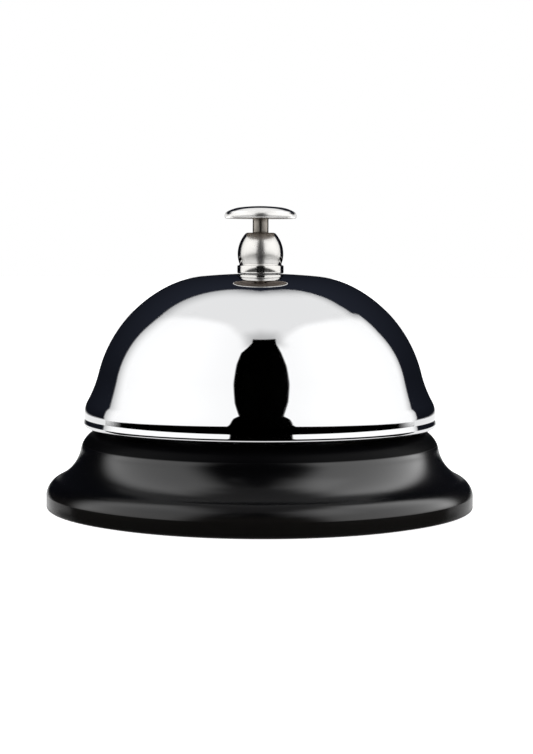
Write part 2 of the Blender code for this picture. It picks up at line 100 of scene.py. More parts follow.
STRAP_Z = tuple(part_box("bridge_strap")[end][2] for end in (0, 1))
STRAP_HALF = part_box("bridge_strap")[1][:2]
YOKE_SHEET, YOKE_INSIDE = 1.2 * MM, 7.0 * MM
YOKE_X = tuple(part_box("striker_yoke")[end][0] for end in (0, 1))
YOKE_Z = tuple(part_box("striker_yoke")[end][2] for end in (0, 1))
YOKE_FOOT_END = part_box("striker_yoke")[1][1]
STUD_RADIUS, STUD_FLANGE_RADIUS = 3.5 * MM, 5.5 * MM
STUD_FLANGE_Z = (42.8 * MM, 44.5 * MM)
STUD_Z = tuple(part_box("centre_stud")[end][2] for end in (0, 1))
COUNTERBORE_RADIUS = 2.7 * MM    # in the stud's top, for the spring
SPRING_SEAT_Z = 47.3 * MM
THREAD_HOLE = 3.75 * MM
RIVET_GAP, RIVET_SHANK = 0.15 * MM, 1.5 * MM

PAINT_SHINE = 0.1                # specular level of the enamel
SHADED_Z = 12.7 * MM             # above this height, under the gong, its reflection is cut down: painted shade
SHADED_SHINE = 0.006
LIP_DIM_Z = (4.5 * MM, 6.5 * MM)     # from the lip, where the enamel reflects less, up to the full shine
LIP_DIM_SHARE = 0.7              # share of the shine that is left on the lip
LIGHTER_LIP_Z = (3.6 * MM, 4.6 * MM)    # lighter colour up to the first height, none above the second
EDGE_ON_SHARE = 0.1              # share of the nickel's roughness that is left edge-on
COLLAR_SHARE = 0.42              # share of the ball's roughness that the collar has
UNDERSIDE_PAINTED_SHADE = (0.26, 0.22, 0.19)     # painted shade: the dark brown given to the button's underside

# Arcs are (radius, turn in degrees) and straight runs (length,). A positive
# turn bends downwards, a negative one bends back outwards.
GONG_CURVES = (
    (121.1 * MM, 5.35),
    (20.17 * MM, 22.48),
    (26.39 * MM, 48.02),
    (23.5 * MM, -14.85),
    (4.8 * MM, 29.0),
    (0.9 * MM,),
    (0.6 * MM, -12.0),
    (0.72 * MM,),
)
GONG_RIM_HEADING = 78.0          # where the gong's curves end and the bead begins
GONG_BEAD = (0.8 * MM, 102.0)
BASE_CURVES = (
    (4.87 * MM, 77.81),
    (0.22 * MM,),
    (8.09 * MM, -52.99),
    (4.09 * MM, 54.26),
    (0.5 * MM, 10.92),
)
BALL_CURVES = ((6.23 * MM, 43.3), (4.95 * MM, 23.0))
BALL_HEADING = 46.7
BUTTON_CURVES = ((33.0 * MM, 6.9), (7.4 * MM, 21.4), (1.074 * MM, 61.7))

# segments round a turned piece
BIG_ROUND = 288                  # gong and base
FOOT_ROUND = 192
BUTTON_ROUND = 160
ROUND = 96                       # ball nut, stud and washers
HUB_ROUND = 64
SMALL_ROUND = 48                 # rivets, pin, rod and hammer


# ---- outlines -----------------------------------------------------------
def path(start, heading_deg, curves, step_deg=2.0):
    """Points of a chain of arcs and straight runs; heading 0 is outwards."""
    r, z = start
    heading = math.radians(heading_deg)
    points = [(r, z)]
    for curve in curves:
        if len(curve) == 1:
            r += curve[0] * math.cos(heading)
            z -= curve[0] * math.sin(heading)
            points.append((r, z))
            continue
        radius = curve[0] * math.copysign(1.0, curve[1])
        turn = math.radians(curve[1])
        centre_r = r - radius * math.sin(heading)
        centre_z = z - radius * math.cos(heading)
        count = max(1, math.ceil(abs(curve[1]) / step_deg))
        for i in range(1, count + 1):
            now = heading + turn * i / count
            r = centre_r + radius * math.sin(now)
            z = centre_z + radius * math.cos(now)
            points.append((r, z))
        heading += turn
    return points


def thinned(curves, sheet):
    """The same chain, one sheet thickness further in."""
    inside = []
    for curve in curves:
        if len(curve) == 1:
            inside.append(curve)
        elif curve[1] > 0:
            inside.append((curve[0] - sheet, curve[1]))
        else:
            inside.append((curve[0] + sheet, curve[1]))
    return inside


def eased(corners, ease, steps=3):
    """A closed outline with each sharp corner cut to a small round of size ease."""
    points = []
    count = len(corners)
    for i, corner in enumerate(corners):
        here = Vector(corner)
        before = Vector(corners[i - 1]) - here
        after = Vector(corners[(i + 1) % count]) - here
        if corner[0] < 1e-9:
            points.append(corner)
            continue
        size = min(ease, before.length * 0.45, after.length * 0.45)
        start = here + before.normalized() * size
        end = here + after.normalized() * size
        for k in range(steps + 1):
            t = k / steps
            point = start * (1 - t) ** 2 + here * 2 * t * (1 - t) + end * t**2
            points.append((point.x, point.y))
    return points


def rounded_rectangle(half_x, half_y, radius, steps=10):
    points = []
    for cx, cy, first in (
        (half_x - radius, half_y - radius, 0),
        (radius - half_x, half_y - radius, 90),
        (radius - half_x, radius - half_y, 180),
        (half_x - radius, radius - half_y, 270),
    ):
        for i in range(steps + 1):
            angle = math.radians(first + 90 * i / steps)
            points.append((cx + radius * math.cos(angle), cy + radius * math.sin(angle)))
    return points


def circle(radius, segments, centre=(0.0, 0.0)):
    return [
        (
            centre[0] + radius * math.cos(2 * math.pi * i / segments),
            centre[1] + radius * math.sin(2 * math.pi * i / segments),
        )
        for i in range(segments)
    ]


# ---- meshes -------------------------------------------------------------
def signed_area(outline):
    return sum(
        a[0] * b[1] - b[0] * a[1] for a, b in zip(outline, outline[1:] + outline[:1])
    )


def add_piece(name, vertices, faces, smooth=True):
    mesh = bpy.data.meshes.new(name)
    mesh.from_pydata(vertices, [], faces)
    mesh.polygons.foreach_set("use_smooth", [smooth] * len(mesh.polygons))
    made = bpy.data.objects.new(name, mesh)
    bpy.context.scene.collection.objects.link(made)
    return made


def turned(name, profile, segments, ripple=None):
    """Solid of revolution about Z of a closed (r, z) outline; ripple(r, z, angle) reshapes it."""
    outline = list(profile) if signed_area(profile) < 0 else list(reversed(profile))
    vertices = []
    rings = []
    for r, z in outline:
        if r < 1e-9:
            rings.append([len(vertices)] * segments)
            vertices.append((0.0, 0.0, z))
            continue
        rings.append([len(vertices) + j for j in range(segments)])
        for j in range(segments):
            angle = 2 * math.pi * j / segments
            here = ripple(r, z, angle) if ripple else r
            vertices.append((here * math.cos(angle), here * math.sin(angle), z))
    faces = []
    for i, ring in enumerate(rings):
        after = rings[(i + 1) % len(rings)]
        for j in range(segments):
            k = (j + 1) % segments
            corners = []
            for index in (ring[j], after[j], after[k], ring[k]):
                if index not in corners:
                    corners.append(index)
            if len(corners) > 2:
                faces.append(corners)
    return add_piece(name, vertices, faces)


def prism(name, outline, low, high, axis="Z"):
    """Straight solid of a flat outline between two planes across an axis."""
    place = {
        "Z": lambda a, b, c: (a, b, c),
        "Y": lambda a, b, c: (b, c, a),
        "X": lambda a, b, c: (c, a, b),
    }[axis]
    around = list(outline) if signed_area(outline) > 0 else list(reversed(outline))
    count = len(around)
    vertices = [place(a, b, low) for a, b in around]
    vertices += [place(a, b, high) for a, b in around]
    faces = [list(reversed(range(count))), list(range(count, 2 * count))]
    for i in range(count):
        j = (i + 1) % count
        faces.append([i, j, j + count, i + count])
    return add_piece(name, vertices, faces)


def bevelled(piece, width, segments=3):
    """Eases the sharp edges and keeps the flats flat."""
    bevel = piece.modifiers.new("Eased edges", "BEVEL")
    bevel.width = width
    bevel.segments = segments
    bevel.limit_method = "ANGLE"
    bevel.angle_limit = math.radians(35)
    bevel.harden_normals = True
    return piece


def combined(piece, other, operation):
    modifier = piece.modifiers.new(operation.title(), "BOOLEAN")
    modifier.operation = operation
    modifier.solver = "EXACT"
    modifier.object = other
    graph = bpy.context.evaluated_depsgraph_get()
    mesh = bpy.data.meshes.new_from_object(piece.evaluated_get(graph))
    piece.modifiers.clear()
    piece.data = mesh
    bpy.data.objects.remove(other)
    return piece


def sharp_at(piece, degrees):
    """Smooth shading that stays crisp across edges steeper than this."""
    piece.data.set_sharp_from_angle(angle=math.radians(degrees))
    return piece


# ---- materials ----------------------------------------------------------
class Nodes:
    """A Principled material with short calls for the procedural nodes behind it."""

    def __init__(self, name, colour, metallic, roughness):
        self.material = bpy.data.materials.new(name)
        self.material.use_nodes = True
        self.tree = self.material.node_tree
        self.shader = self.tree.nodes["Principled BSDF"]
        self.shader.inputs["Base Color"].default_value = (*colour, 1.0)
        self.shader.inputs["Metallic"].default_value = metallic
        self.shader.inputs["Roughness"].default_value = roughness
        self.coords = self.tree.nodes.new("ShaderNodeTexCoord")

    def link(self, source, target):
        self.tree.links.new(source, target)

    def stretched(self, scale):
        mapping = self.tree.nodes.new("ShaderNodeMapping")
        mapping.inputs["Scale"].default_value = scale
        self.link(self.coords.outputs["Object"], mapping.inputs["Vector"])
        return mapping.outputs["Vector"]

    def noise(self, scale, detail=3.0, rough=0.55, vector=None, distortion=0.0):
        node = self.tree.nodes.new("ShaderNodeTexNoise")
        node.inputs["Scale"].default_value = scale
        node.inputs["Detail"].default_value = detail
        node.inputs["Roughness"].default_value = rough
        node.inputs["Distortion"].default_value = distortion
        self.link(vector or self.coords.outputs["Object"], node.inputs["Vector"])
        return node.outputs["Fac"]

    def ranged(self, value, low, high, out_low, out_high):
        node = self.tree.nodes.new("ShaderNodeMapRange")
        node.inputs["From Min"].default_value = low
        node.inputs["From Max"].default_value = high
        node.inputs["To Min"].default_value = out_low
        node.inputs["To Max"].default_value = out_high
        self.link(value, node.inputs["Value"])
        return node.outputs["Result"]

    def maths(self, operation, first, second):
        node = self.tree.nodes.new("ShaderNodeMath")
        node.operation = operation
        for socket, value in zip(node.inputs, (first, second)):
            if isinstance(value, (int, float)):
                socket.default_value = value
            else:
                self.link(value, socket)
        return node.outputs[0]

    def blend(self, share, first, second):
        """Mixes two colours, each either fixed or the output of another node."""
        node = self.tree.nodes.new("ShaderNodeMix")
        node.data_type = "RGBA"
        for socket, value in (("A", first), ("B", second)):
            if isinstance(value, tuple):
                node.inputs[socket].default_value = (*value, 1.0)
            else:
                self.link(value, node.inputs[socket])
        self.link(share, node.inputs["Factor"])
        return node.outputs["Result"]

    def position(self):
        node = self.tree.nodes.new("ShaderNodeSeparateXYZ")
        self.link(self.coords.outputs["Object"], node.inputs["Vector"])
        return node.outputs

    def facing(self):
        """0 where the surface faces the viewer, 1 where it turns edge-on."""
        return self.tree.nodes.new("ShaderNodeLayerWeight").outputs["Facing"]

    def colour(self, value):
        self.link(value, self.shader.inputs["Base Color"])

    def roughness(self, value):
        self.link(value, self.shader.inputs["Roughness"])

    def bump(self, height, strength, distance, normal=None):
        node = self.tree.nodes.new("ShaderNodeBump")
        node.inputs["Strength"].default_value = strength
        node.inputs["Distance"].default_value = distance
        self.link(height, node.inputs["Height"])
        if normal:
            self.link(normal, node.inputs["Normal"])
        self.link(node.outputs["Normal"], self.shader.inputs["Normal"])
        return node.outputs["Normal"]


def gong_chrome():
    """Bright plate: faint handling marks in the gloss and polishing lines round the axis."""
    m = Nodes("gong_chrome", (0.775, 0.78, 0.785), 1.0, 0.03)
    marks = m.noise(38.0, 4.0, 0.6, distortion=0.6)
    m.roughness(m.ranged(marks, 0.35, 0.75, 0.012, 0.05))
    m.colour(m.blend(m.noise(22.0, 2.0), (0.762, 0.766, 0.775), (0.785, 0.789, 0.795)))
    lines = m.noise(1.0, 2.0, vector=m.stretched((40.0, 40.0, 2600.0)))
    m.bump(lines, 0.05, 0.004 * MM)
    return m.material


def polished_nickel(name, tone, crisp, bright_below=None, rough_shade_below=None):
    """Warmer and softer than the chrome, with turning marks; glossier where seen
    edge-on, between the two crisp values. One height may divide off a better
    polished foot, and another a rougher underside, coloured dark brown as painted shade."""
    m = Nodes(name, tone, 1.0, 0.25)
    _, _, height = m.position()
    satin = m.ranged(m.noise(160.0, 4.0, 0.6), 0.3, 0.75, 0.26, 0.34)
    gloss = m.maths("MULTIPLY", satin, m.ranged(m.facing(), *crisp, 1.0, EDGE_ON_SHARE))
    worn = tuple(0.9 * part for part in tone)
    colour = m.blend(m.noise(90.0, 3.0), worn, tone)
    if bright_below is not None:
        edge = (bright_below - 0.05 * MM, bright_below + 0.05 * MM)
        gloss = m.maths("MULTIPLY", gloss, m.ranged(height, *edge, COLLAR_SHARE, 1.0))
    if rough_shade_below is None:
        m.shader.inputs["Specular Tint"].default_value = (0.1, 0.1, 0.1, 1.0)
    else:
        # painted shade: below this height the underside turns dark brown, and rougher
        rough_painted_shade = m.ranged(height, rough_shade_below, rough_shade_below + 0.04 * MM, 1.0, 0.0)
        gloss = m.maths("ADD", gloss, m.maths("MULTIPLY", rough_painted_shade, 0.3))
        colour = m.blend(rough_painted_shade, colour, UNDERSIDE_PAINTED_SHADE)
    m.roughness(gloss)
    m.colour(colour)
    lines = m.noise(1.0, 2.0, vector=m.stretched((150.0, 150.0, 6000.0)))
    m.bump(lines, 0.12, 0.006 * MM)
    return m.material


def black_paint():
    """Semi-gloss stoved enamel: a little orange peel, duller at the lip; under the gong its
    reflection is cut down as painted shade.
    """
    m = Nodes("black_paint", (0.0004, 0.0004, 0.0005), 0.0, 0.2)
    handling = m.noise(30.0, 4.0, 0.6, distortion=0.4)
    _, _, height = m.position()
    rubbed = m.ranged(height, 0.3 * MM, 1.4 * MM, 0.12, 0.0)
    gloss = m.ranged(handling, 0.3, 0.75, 0.15, 0.21)
    sheltered = m.ranged(height, SHADED_Z, SHADED_Z + 0.35 * MM, 0.0, 0.2)
    m.roughness(m.maths("ADD", m.maths("ADD", gloss, rubbed), sheltered))
    m.shader.inputs["Specular IOR Level"].default_value = PAINT_SHINE
    # painted shade: under the gong, above SHADED_Z, the enamel's reflection drops almost to
    # nothing
    shine = m.ranged(height, SHADED_Z, SHADED_Z + 0.25 * MM, PAINT_SHINE, SHADED_SHINE)
    # the enamel reflects less towards the lip
    lip_dimming = m.ranged(height, *LIP_DIM_Z, LIP_DIM_SHARE, 1.0)
    m.link(m.maths("MULTIPLY", shine, lip_dimming), m.shader.inputs["Specular IOR Level"])
    enamel = m.blend(m.noise(60.0, 3.0), (0.0002, 0.0002, 0.0003), (0.0005, 0.0005, 0.0006))
    # the enamel's colour is lighter towards the bottom
    lighter_lip = m.ranged(height, *LIGHTER_LIP_Z, 1.0, 0.0)
    m.colour(m.blend(lighter_lip, enamel, (0.0016, 0.0015, 0.0014)))
    peel = m.bump(m.noise(620.0, 2.0), 0.10, 0.02 * MM)
    m.bump(m.noise(90.0, 1.0), 0.08, 0.05 * MM, peel)
    return m.material


def black_rubber():
    m = Nodes("black_rubber", (0.028, 0.028, 0.028), 0.0, 0.75)
    m.roughness(m.ranged(m.noise(200.0, 4.0), 0.3, 0.7, 0.62, 0.85))
    m.colour(m.blend(m.noise(120.0, 5.0, 0.7), (0.018, 0.018, 0.018), (0.042, 0.041, 0.04)))
    m.bump(m.noise(2200.0, 3.0), 0.35, 0.03 * MM)
    return m.material


def zinc_plate():
    """Satin zinc with a faint spangle and fine rolling lines."""
    m = Nodes("zinc_plated_steel", (0.62, 0.63, 0.65), 1.0, 0.35)
    m.roughness(m.ranged(m.noise(300.0, 5.0, 0.65), 0.3, 0.7, 0.26, 0.46))
    m.colour(m.blend(m.noise(180.0, 4.0, 0.7), (0.54, 0.55, 0.58), (0.70, 0.705, 0.71)))
    lines = m.noise(1.0, 3.0, vector=m.stretched((5200.0, 130.0, 1500.0)))
    m.bump(lines, 0.18, 0.01 * MM)
    return m.material


def spring_steel():
    m = Nodes("spring_steel", (0.42, 0.42, 0.43), 1.0, 0.3)
    m.roughness(m.ranged(m.noise(500.0, 4.0), 0.3, 0.7, 0.2, 0.4))
    m.colour(m.blend(m.noise(260.0, 4.0), (0.34, 0.34, 0.36), (0.50, 0.49, 0.48)))
    m.bump(m.noise(3500.0, 2.0), 0.12, 0.01 * MM)
    return m.material


def turned_brass():
    m = Nodes("brass", (0.76, 0.57, 0.27), 1.0, 0.28)
    m.roughness(m.ranged(m.noise(260.0, 5.0, 0.65), 0.3, 0.7, 0.18, 0.38))
    m.colour(m.blend(m.noise(150.0, 4.0, 0.7), (0.62, 0.43, 0.18), (0.82, 0.64, 0.33)))
    m.bump(m.noise(1.0, 2.0, vector=m.stretched((300.0, 300.0, 7000.0))), 0.15, 0.01 * MM)
    return m.material


def red_fibre():
    m = Nodes("red_fibre", (0.30, 0.05, 0.035), 0.0, 0.7)
    m.roughness(m.ranged(m.noise(400.0, 4.0), 0.3, 0.7, 0.6, 0.8))
    m.colour(m.blend(m.noise(700.0, 5.0, 0.7), (0.22, 0.035, 0.028), (0.40, 0.08, 0.05)))
    m.bump(m.noise(2500.0, 3.0), 0.3, 0.02 * MM)
    return m.material


# ---- the fixed pieces ---------------------------------------------------
def base_outline():
    chain = path((0.0, DECK_Z), 0.0, BASE_CURVES)
    edge = BASE_RADIUS - chain[-1][0]
    outside = path((edge, DECK_Z), 0.0, BASE_CURVES)
    within = thinned(BASE_CURVES[:-1], BASE_SHEET)
    inside = path((edge, DECK_Z - BASE_SHEET), 0.0, within, step_deg=4.0)
    half = BASE_SHEET / 2
    hem = [
        (BASE_RADIUS - half + half * math.cos(a), LIP_Z + half - half * math.sin(a))
        for a in (math.pi * i / 8 for i in range(9))
    ]
    rim = [
        (DECK_HOLE_RADIUS + half - half * math.cos(a), DECK_Z - half + half * math.sin(a))
        for a in (math.pi / 2 * (i / 4 - 1) for i in range(9))
    ]
    return rim + outside + hem + inside[::-1]


def make_base():
    return turned("base_skin", base_outline(), BIG_ROUND)


def make_foot_ring():
    """Moulded ring with two shallow grooves in the face that it stands on."""
    depth = 0.35 * MM
    corners = [
        (FOOT_OUTER, 0.5 * MM),
        (FOOT_OUTER, FOOT_TOP_Z - 0.7 * MM),
        (FOOT_OUTER - 0.7 * MM, FOOT_TOP_Z),
        (FOOT_INNER + 0.8 * MM, FOOT_TOP_Z),
        (FOOT_INNER, FOOT_TOP_Z - 0.8 * MM),
        (FOOT_INNER, 0.0),
    ]
    for middle in (FOOT_INNER + 1.7 * MM, FOOT_INNER + 3.4 * MM):
        corners += [
            (middle - 0.35 * MM, 0.0),
            (middle - 0.2 * MM, depth),
            (middle + 0.2 * MM, depth),
            (middle + 0.35 * MM, 0.0),
        ]
    corners.append((FOOT_OUTER - 0.5 * MM, 0.0))
    outline = eased(corners, 0.12 * MM, steps=2)
    return sharp_at(turned("foot_ring_skin", outline, FOOT_ROUND), 40)


def gong_outline():
    outside = path((0.0, GONG_TOP_Z), 0.0, GONG_CURVES, step_deg=0.8)
    bead = path(outside[-1], GONG_RIM_HEADING, [GONG_BEAD], step_deg=8.0)[1:]
    within = thinned(GONG_CURVES, GONG_WALL)
    inside = path((0.0, GONG_TOP_Z - GONG_WALL), 0.0, within, step_deg=2.5)
    inside.append((inside[-1][0] + 0.1 * MM, bead[-1][1] + 0.15 * MM))

    def beyond_hole(points):
        kept = [p for p in points if p[0] > GONG_HOLE_RADIUS + 0.2 * MM]
        height = kept[0][1]
        return [(GONG_HOLE_RADIUS, height)] + kept

    return beyond_hole(outside) + bead + beyond_hole(inside)[::-1]


def make_gong():
    return turned("gong_skin", gong_outline(), BIG_ROUND)


def make_ball_nut():
    ball = path((NUT_TOP_RADIUS, NUT_TOP_Z), BALL_HEADING, BALL_CURVES)
    neck = ball[-1]
    lead = 0.15 * MM
    chamber = 2.9 * MM
    edge = (NUT_TOP_RADIUS - 0.22 * MM, NUT_TOP_Z)
    top = path(edge, 0.0, [(0.25 * MM, BALL_HEADING)], step_deg=8.0)
    collar = eased(
        [
            (neck[0] + 0.02 * MM, COLLAR_TOP_Z),
            (COLLAR_RADIUS, COLLAR_TOP_Z),
            (COLLAR_RADIUS, COLLAR_FOOT_Z),
            (THREAD_HOLE, COLLAR_FOOT_Z),
        ],
        0.3 * MM,
        steps=5,
    )[4:]
    outline = [(GUIDE_RADIUS, NUT_TOP_Z - lead), (GUIDE_RADIUS + lead, NUT_TOP_Z)]
    outline += top[:-1]
    outline += [p for p in ball if p[1] < top[-1][1]]
    outline += collar
    outline += [
        (THREAD_HOLE, STUD_Z[1] + 0.3 * MM),
        (chamber, STUD_Z[1] + 1.0 * MM),
        (chamber, CLIP_Z[1] + 0.1 * MM),
        (GUIDE_RADIUS, CLIP_Z[1] + 0.1 * MM),
    ]
    return sharp_at(turned("ball_nut_skin", outline, ROUND), 50)


def thread(pitch, depth, low, high):
    """A ripple that cuts a screw thread between two heights."""

    def ripple(r, z, angle):
        if not low < z < high:
            return r
        phase = (z / pitch - angle / (2 * math.pi)) % 1.0
        fade = min(1.0, (z - low) / pitch, (high - z) / pitch)
        return r - depth * fade * abs(2 * phase - 1)

    return ripple


def make_centre_stud():
    low, high = STUD_Z
    foot, shoulder = STUD_FLANGE_Z
    pitch = 0.75 * MM
    steps = round((foot - low) / (pitch / 8))
    threaded = [(STUD_RADIUS, low + (foot - low) * i / steps) for i in range(1, steps)]
    outline = [(GUIDE_RADIUS, low), (STUD_RADIUS - 0.4 * MM, low)]
    outline += threaded
    outline += eased(
        [
            (STUD_RADIUS, foot),
            (STUD_FLANGE_RADIUS, foot),
            (STUD_FLANGE_RADIUS, shoulder),
            (STUD_RADIUS, shoulder),
        ],
        0.15 * MM,
    )
    outline += [
        (STUD_RADIUS, high - 0.3 * MM),
        (STUD_RADIUS - 0.3 * MM, high),
        (COUNTERBORE_RADIUS, high),
        (COUNTERBORE_RADIUS, SPRING_SEAT_Z),
        (GUIDE_RADIUS, SPRING_SEAT_Z),
    ]
    ripple = thread(pitch, 0.38 * MM, low, foot - 0.2 * MM)

    def outside_only(r, z, angle):
        return ripple(r, z, angle) if r > COUNTERBORE_RADIUS else r

    return sharp_at(turned("centre_stud_skin", outline, ROUND, outside_only), 40)


def make_stud_nut():
    """Hex nut: its corners are chamfered top and bottom, as a turned nut's are."""
    low, high = (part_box("stud_nut")[end][2] for end in (0, 1))
    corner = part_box("stud_nut")[1][0]
    blank = prism("stud_nut_skin", circle(corner, 6), low, high)
    ease = 0.45 * MM
    limits = [
        (0.0, low),
        (corner - 2.2 * ease, low),
        (corner + 0.01 * MM, low + 1.1 * ease),
        (corner + 0.01 * MM, high - 1.1 * ease),
        (corner - 2.2 * ease, high),
        (0.0, high),
    ]
    combined(blank, turned("nut_chamfers", limits, ROUND), "INTERSECT")
    bore = [
        (0.0, low - MM),
        (THREAD_HOLE + 0.3 * MM, low - MM),
        (THREAD_HOLE + 0.3 * MM, low),
        (THREAD_HOLE, low + 0.3 * MM),
        (THREAD_HOLE, high - 0.3 * MM),
        (THREAD_HOLE + 0.3 * MM, high),
        (THREAD_HOLE + 0.3 * MM, high + MM),
        (0.0, high + MM),
    ]
    combined(blank, turned("nut_bore", bore, SMALL_ROUND), "DIFFERENCE")
    blank.data.polygons.foreach_set("use_smooth", [True] * len(blank.data.polygons))
    return sharp_at(blank, 25)


def make_washer(node, name):
    low, high = (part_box(node)[end][2] for end in (0, 1))
    hole, outer = WASHER_HOLE_RADIUS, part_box(node)[1][0]
    corners = [(hole, low), (outer, low), (outer, high), (hole, high)]
    return turned(name, eased(corners, 0.12 * MM), ROUND)


def make_bridge_strap():
    outline = rounded_rectangle(STRAP_HALF[0], STRAP_HALF[1], 3.0 * MM)
    return bevelled(prism("bridge_strap_skin", outline, *STRAP_Z), 0.25 * MM)


def yoke_outline():
    """Folded strip seen along X: top plate, two legs, two feet turned outwards."""
    bend = 2.0 * MM
    small_bend = bend - YOKE_SHEET
    leg = YOKE_Z[1] - YOKE_Z[0] - 2 * bend
    flat = YOKE_INSIDE + YOKE_SHEET - bend
    foot = YOKE_FOOT_END - YOKE_INSIDE - bend
    outer = ((flat,), (bend, 90.0), (leg,), (small_bend, -90.0), (foot,))
    right = path((0.0, YOKE_Z[1]), 0.0, outer, step_deg=9.0)
    within = thinned(outer, YOKE_SHEET)
    inner = path((0.0, YOKE_Z[1] - YOKE_SHEET), 0.0, within, step_deg=9.0)
    half = right[1:] + inner[:0:-1]
    mirrored = [(-y, z) for y, z in half]
    return half + mirrored[::-1]


def make_striker_yoke():
    return bevelled(prism("striker_yoke_skin", yoke_outline(), *YOKE_X, axis="X"), 0.2 * MM)


def make_rivet(name, node):
    """Domed head above, formed tail below, centred on its CAD rivet."""
    low_corner, high_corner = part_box(node)
    top = high_corner[2]
    foot = low_corner[2]
    head = top - 0.85 * MM
    tail = foot + 0.8 * MM
    dome = path((0.0, top), 0.0, [(3.95 * MM, 38.5)], step_deg=4.0)
    outline = [p for p in dome if p[1] > head]
    outline += [(2.45 * MM, head + 0.04 * MM), (2.4 * MM, head)]
    outline += [(RIVET_SHANK, head), (RIVET_SHANK, tail)]
    outline += eased(
        [(2.35 * MM, tail), (2.35 * MM, tail - 0.45 * MM), (1.9 * MM, foot), (0.0, foot)],
        0.2 * MM,
    )
    made = sharp_at(turned(name, outline, SMALL_ROUND), 50)
    centre = [(low_corner[i] + high_corner[i]) / 2 for i in (0, 1)]
    made.data.transform(Matrix.Translation((centre[0], centre[1], 0.0)))
    return made


def make_pivot_pin():
    side = YOKE_INSIDE + YOKE_SHEET
    under_head, head_top = -side - 0.2 * MM, -side - 1.0 * MM
    corners = [(0.0, head_top), (PIN_HEAD, head_top), (PIN_HEAD, under_head)]
    head = eased(corners, 0.35 * MM, steps=5)
    outline = head + [
        (PIN_RADIUS, under_head),
        (PIN_RADIUS, side + 0.25 * MM),
        (PIN_GROOVE, side + 0.25 * MM),
        (PIN_GROOVE, side + 0.85 * MM),
        (PIN_RADIUS, side + 0.85 * MM),
        (PIN_RADIUS, side + 1.3 * MM),
        (PIN_RADIUS - 0.2 * MM, side + 1.5 * MM),
        (0.0, side + 1.5 * MM),
    ]
    made = sharp_at(turned("pivot_pin_skin", outline, SMALL_ROUND), 40)
    made.data.transform(Matrix.Translation(PIVOT) @ Matrix.Rotation(-math.pi / 2, 4, "X"))
    return made


def open_ring(name, radii, gap_deg, low, high, axis="Z"):
    """Flat retaining ring with a gap in it."""
    inner, outer = radii
    around, steps = 360 - gap_deg, SMALL_ROUND
    angles = [math.radians(gap_deg / 2 + around * i / steps) for i in range(steps + 1)]
    outline = [(outer * math.cos(a), outer * math.sin(a)) for a in angles]
    outline += [(inner * math.cos(a), inner * math.sin(a)) for a in reversed(angles)]
    return bevelled(prism(name, outline, low, high, axis), 0.08 * MM, segments=2)


def make_pin_clip():
    low, high = (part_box("pin_clip")[end][1] for end in (0, 1))
    made = open_ring("pin_clip_skin", PIN_CLIP_RADII, 70, low, high, axis="Y")
    made.data.transform(Matrix.Translation((PIVOT.x, 0.0, PIVOT.z)))
    return made


def make_return_spring():
    """Compression spring with closed ends."""
    wire = 0.25 * MM
    mean = 2.15 * MM
    low, high = SPRING_Z[0] + wire, SPRING_Z[1] - wire
    turns, per_turn, sides = 5.5, 48, 14
    closed = 0.55 * MM

    def height(turn):
        open_rise = (high - low - 2 * closed) / (turns - 2)
        if turn < 1:
            return low + closed * turn
        if turn < turns - 1:
            return low + closed + open_rise * (turn - 1)
        return high - closed * (turns - turn)

    count = round(turns * per_turn)
    vertices = []
    for i in range(count + 1):
        turn = turns * i / count
        angle = 2 * math.pi * turn
        for k in range(sides):
            around = 2 * math.pi * (k + 0.5) / sides
            r = mean + wire * math.cos(around)
            z = height(turn) + wire * math.sin(around)
            vertices.append((r * math.cos(angle), r * math.sin(angle), z))
    faces = [list(range(sides))]
    for i in range(count):
        for k in range(sides):
            a, b = i * sides + k, i * sides + (k + 1) % sides
            faces.append([a, a + sides, b + sides, b])
    faces.append([count * sides + k for k in reversed(range(sides))])
    return add_piece("return_spring_skin", vertices, faces)


# ---- the plunger --------------------------------------------------------
def make_button():
    """Domed disc with a rounded edge; underneath, a flat face round the socket for the rod."""
    dome = path((0.0, BUTTON_TOP_Z), 0.0, BUTTON_CURVES)
    edge = dome[-1]
    foot = path(edge, 90.0, [(edge[1] - BUTTON_FOOT_Z, 90.0)], step_deg=6.0)[1:]
    socket = ROD_RADIUS + 0.1 * MM
    outline = dome + foot
    socket_top = ROD_TOP_Z + 0.15 * MM
    outline += [(socket, BUTTON_FOOT_Z), (socket, socket_top), (0.0, socket_top)]
    return sharp_at(turned("plunger_button_skin", outline, BUTTON_ROUND), 60)


def make_rod():
    groove = 1.2 * MM
    free = 0.08 * MM
    outline = [
        (0.0, ROD_TOP_Z),
        (ROD_RADIUS, ROD_TOP_Z),
        (ROD_RADIUS, CLIP_Z[1] + free),
        (groove, CLIP_Z[1] + free),
        (groove, CLIP_Z[0] - free),
        (ROD_RADIUS, CLIP_Z[0] - free),
        (ROD_RADIUS, ROD_TIP_Z + 0.5 * MM),
        (1.1 * MM, ROD_TIP_Z),
        (0.0, ROD_TIP_Z),
    ]
    outline = eased(outline, 0.06 * MM, steps=2)
    return sharp_at(turned("plunger_rod_skin", outline, SMALL_ROUND), 40)


def make_spring_clip():
    return open_ring("spring_clip_skin", SPRING_CLIP_RADII, 50, *CLIP_Z)


# ---- the striker --------------------------------------------------------
def in_striker_place(piece):
    piece.data.transform(Matrix.Translation(PIVOT) @ Matrix.Rotation(SWING / 2, 4, "Y"))
    return piece


